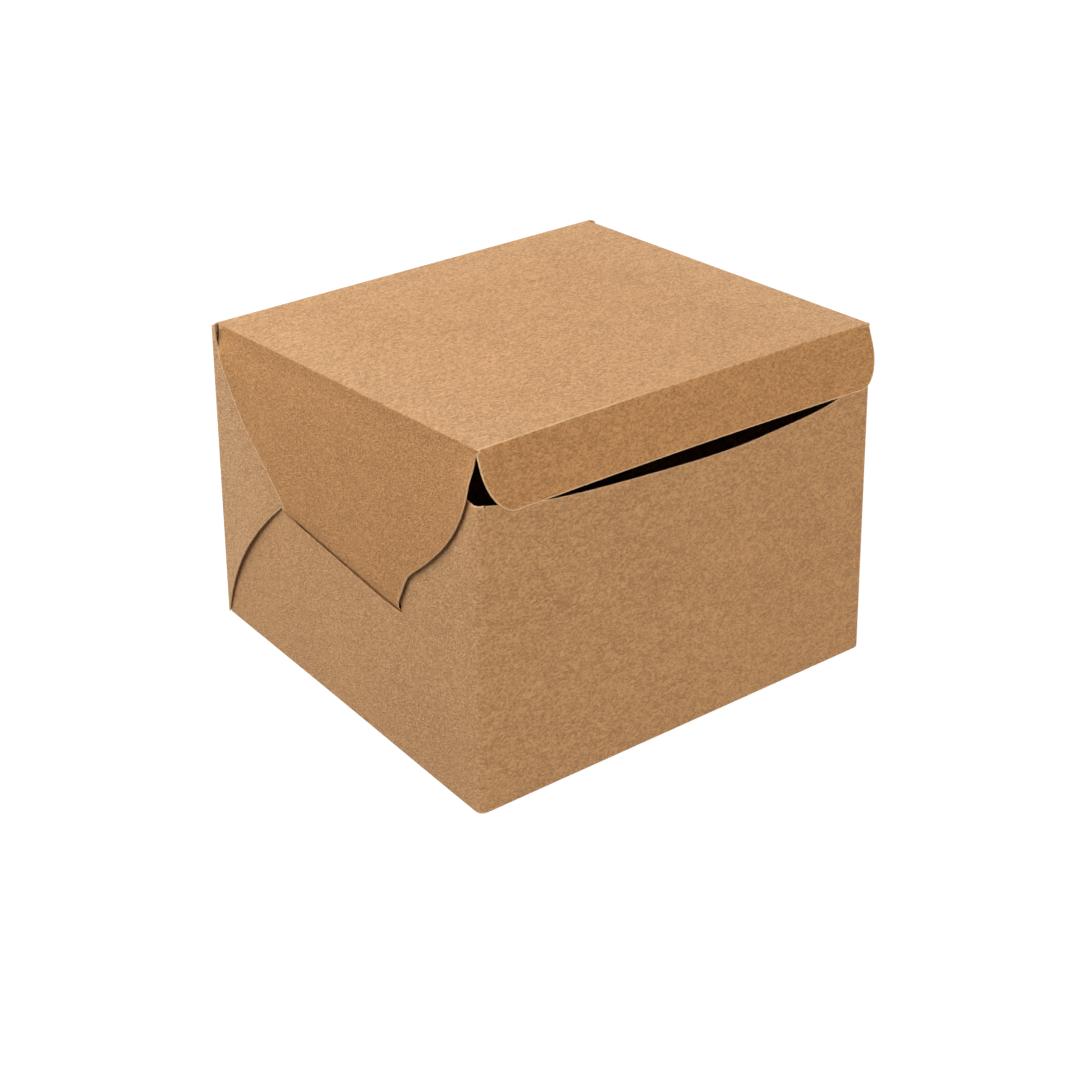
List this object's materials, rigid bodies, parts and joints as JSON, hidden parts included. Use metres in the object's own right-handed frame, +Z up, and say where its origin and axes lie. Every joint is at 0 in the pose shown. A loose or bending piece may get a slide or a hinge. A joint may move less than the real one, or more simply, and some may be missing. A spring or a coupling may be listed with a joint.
{
  "type": "folding cake box",
  "caption": "Folded kraft paperboard cake box: a square glued tray with a hinged lid, locked at each side by a wing whose tongue tucks into a slit, and a short flap hanging in front.",
  "frame": {"origin": "middle of the underside of the base, on the surface that the box stands on", "axes": "+Z up, -Y towards the front with the hanging flap, +Y towards the lid's hinge, +X to the right when the front is seen"},
  "size_m": [0.1614, 0.1567, 0.1213],
  "materials": {
    "kraft": "matte uncoated kraft board",
    "kraft_crease": "matte kraft board, fibres raised along the crease"
  },
  "bodies": {
    "tray": {"base_panel": "kraft", "base_front_crease": "kraft_crease", "base_rear_crease": "kraft_crease", "left_base_crease": "kraft_crease", "right_base_crease": "kraft_crease", "left_glue_tab": "kraft", "right_glue_tab": "kraft", "front_wall": "kraft", "left_front_crease": "kraft_crease", "right_front_crease": "kraft_crease", "back_wall": "kraft", "left_rear_crease": "kraft_crease", "right_rear_crease": "kraft_crease", "left_rear_ear": "kraft", "right_rear_ear": "kraft", "left_side_wall": "kraft", "right_side_wall": "kraft", "lid_hinge_crease": "kraft_crease"},
    "lid": {"lid_panel": "kraft", "lid_front_crease": "kraft_crease", "left_lid_crease": "kraft_crease", "right_lid_crease": "kraft_crease"},
    "flap": {"front_flap": "kraft"},
    "left_wing": {"left_lid_wing": "kraft", "left_lock_tongue": "kraft"},
    "right_wing": {"right_lid_wing": "kraft", "right_lock_tongue": "kraft"}
  },
  "joints": [
    {"name": "lid_hinge", "type": "hinge", "parent": "tray", "child": "lid", "pos_m": [0, 0.07355, 0.11105], "axis": [-1, 0, 0], "range_deg": [0, 175], "deforming": ["lid_hinge_crease"]},
    {"name": "flap_fold", "type": "hinge", "parent": "lid", "child": "flap", "pos_m": [0, -0.0727, 0.1208], "axis": [-1, 0, 0], "range_deg": [0, 71], "deforming": ["lid_front_crease"]},
    {"name": "left_wing_fold", "type": "hinge", "parent": "lid", "child": "left_wing", "pos_m": [-0.07855, 0.0004, 0.11578], "axis": [0, 0.9979, -0.0652], "range_deg": [0, 88], "deforming": ["left_lid_crease", "left_lock_tongue"]},
    {"name": "right_wing_fold", "type": "hinge", "parent": "lid", "child": "right_wing", "pos_m": [0.07855, 0.0004, 0.11578], "axis": [0, -0.9979, 0.0652], "range_deg": [0, 88], "deforming": ["right_lid_crease", "right_lock_tongue"]}
  ]
}
